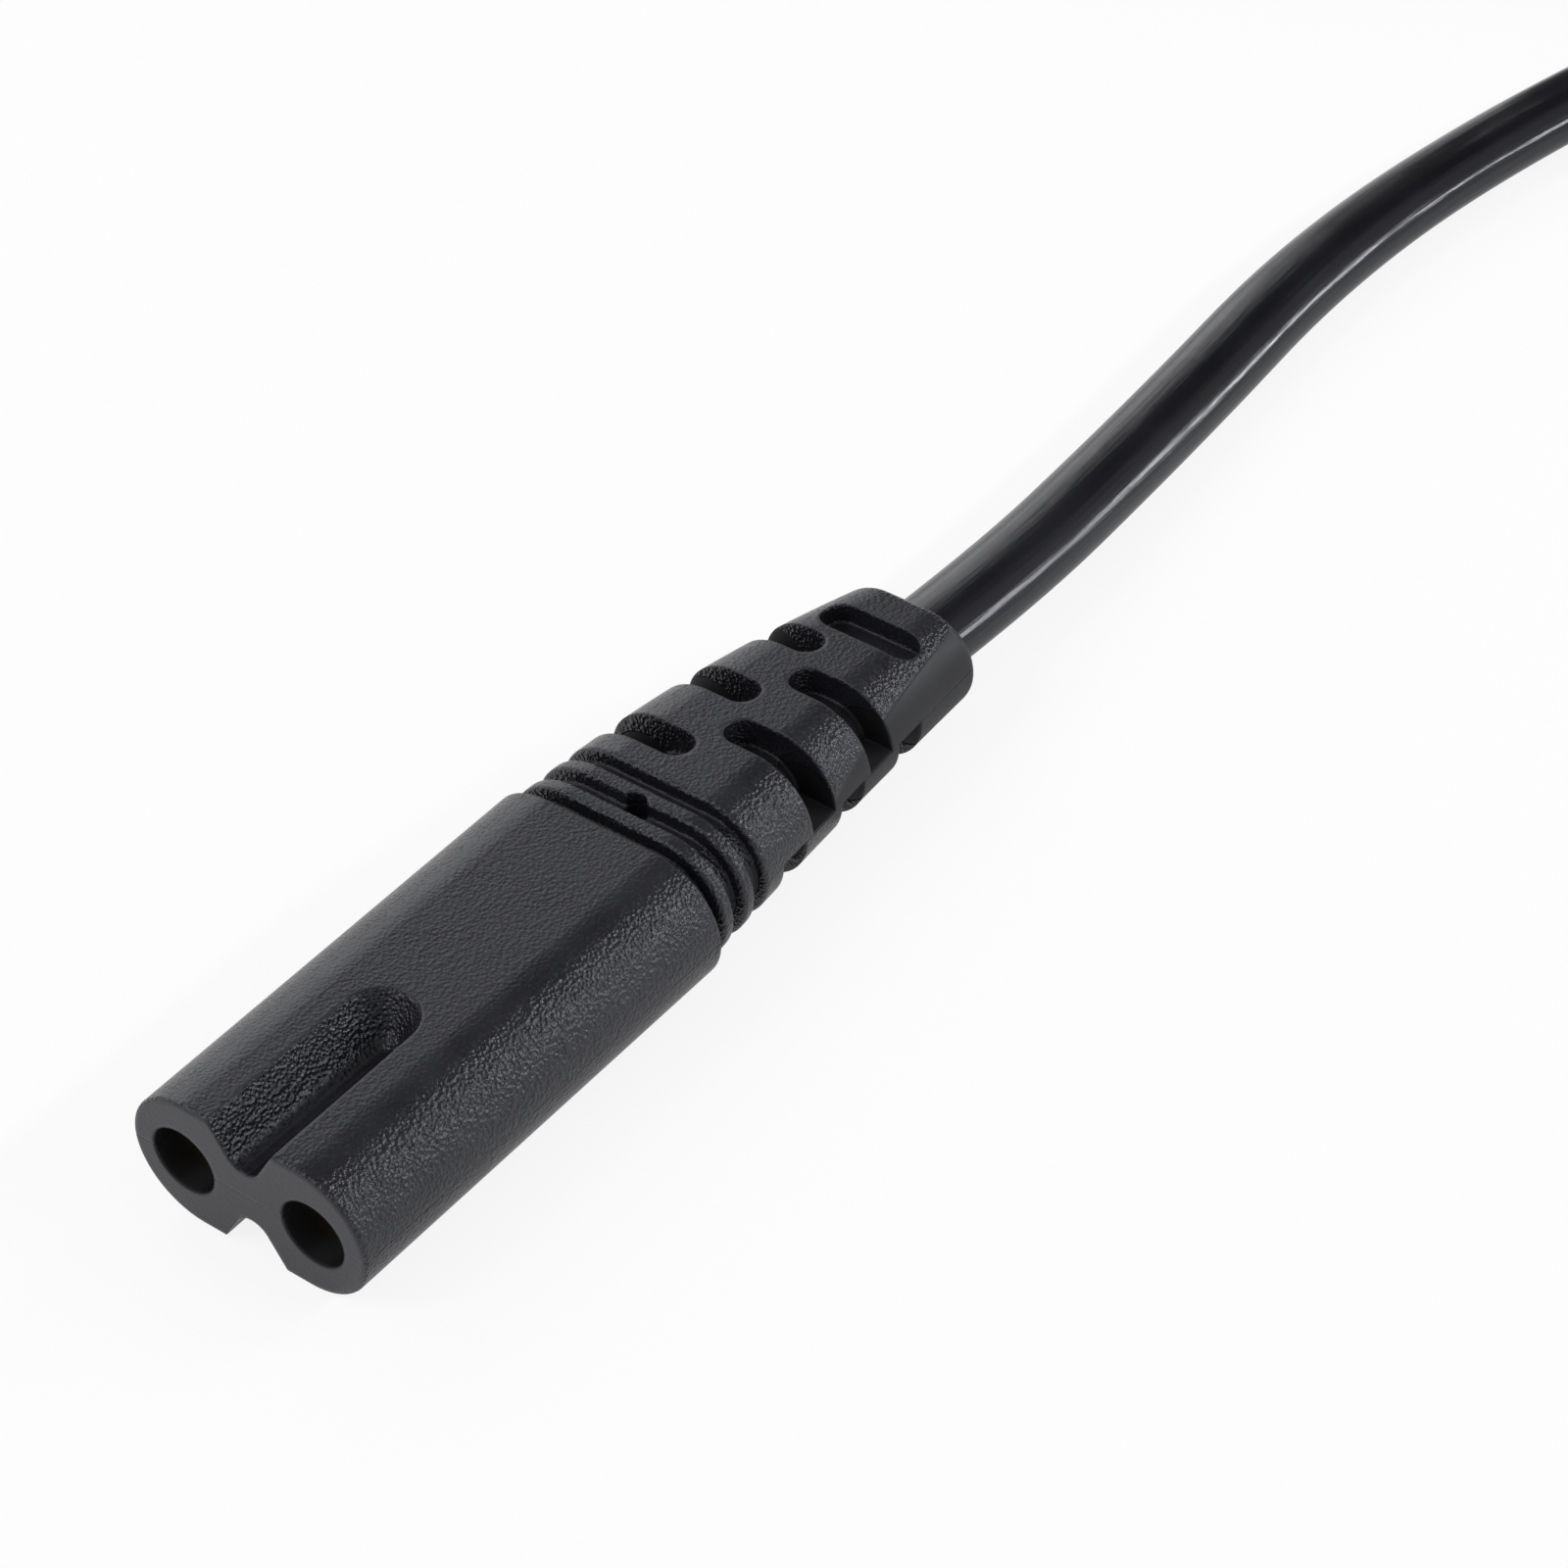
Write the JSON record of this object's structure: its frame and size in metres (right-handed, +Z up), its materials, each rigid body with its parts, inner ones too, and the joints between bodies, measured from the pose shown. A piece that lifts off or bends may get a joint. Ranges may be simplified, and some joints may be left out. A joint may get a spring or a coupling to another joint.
{
  "type": "figure eight power connector",
  "caption": "Moulded figure-eight appliance connector with a notched nose, grip rings and a slotted strain relief, on a flat two-core lead ending in a flat two-pin plug.",
  "frame": {"origin": "middle of the connector's box, on the surface under its flat underside", "axes": "+X from the mating face towards the cord, +Z up, +Y to the left seen along +X"},
  "size_m": [0.2493, 0.0563, 0.0322],
  "materials": {
    "connector_pvc": "charcoal PVC with a fine spark-eroded grain",
    "carrier_plastic": "unpainted hard plastic, satin",
    "contact_brass": "rolled sheet, satin",
    "wire_brown": "smooth brown insulation",
    "wire_blue": "smooth light blue insulation",
    "copper": "stranded copper",
    "cord_jacket": "glossy black PVC jacket",
    "tie_strap": "woven hook and loop strap",
    "plug_pvc": "charcoal PVC with a fine grain",
    "pin_metal": "nickel-plated brass",
    "collar_plastic": "black insulating sleeve"
  },
  "bodies": {
    "root": {"connector_body": "connector_pvc", "contact_carrier": "carrier_plastic", "contact_sleeve_left": "contact_brass", "contact_sleeve_right": "contact_brass", "wire_left": "wire_brown", "wire_right": "wire_blue", "conductor_left": "copper", "conductor_right": "copper", "cord_run": "cord_jacket", "cord_hank": "cord_jacket", "cord_tail": "cord_jacket", "cord_tie": "tie_strap", "plug_body": "plug_pvc", "plug_bridge": "carrier_plastic", "plug_pin_left": "pin_metal", "plug_pin_right": "pin_metal", "pin_collar_left": "collar_plastic", "pin_collar_right": "collar_plastic", "plug_wire_left": "wire_brown", "plug_wire_right": "wire_blue", "plug_conductor_left": "copper", "plug_conductor_right": "copper"}
  },
  "joints": []
}
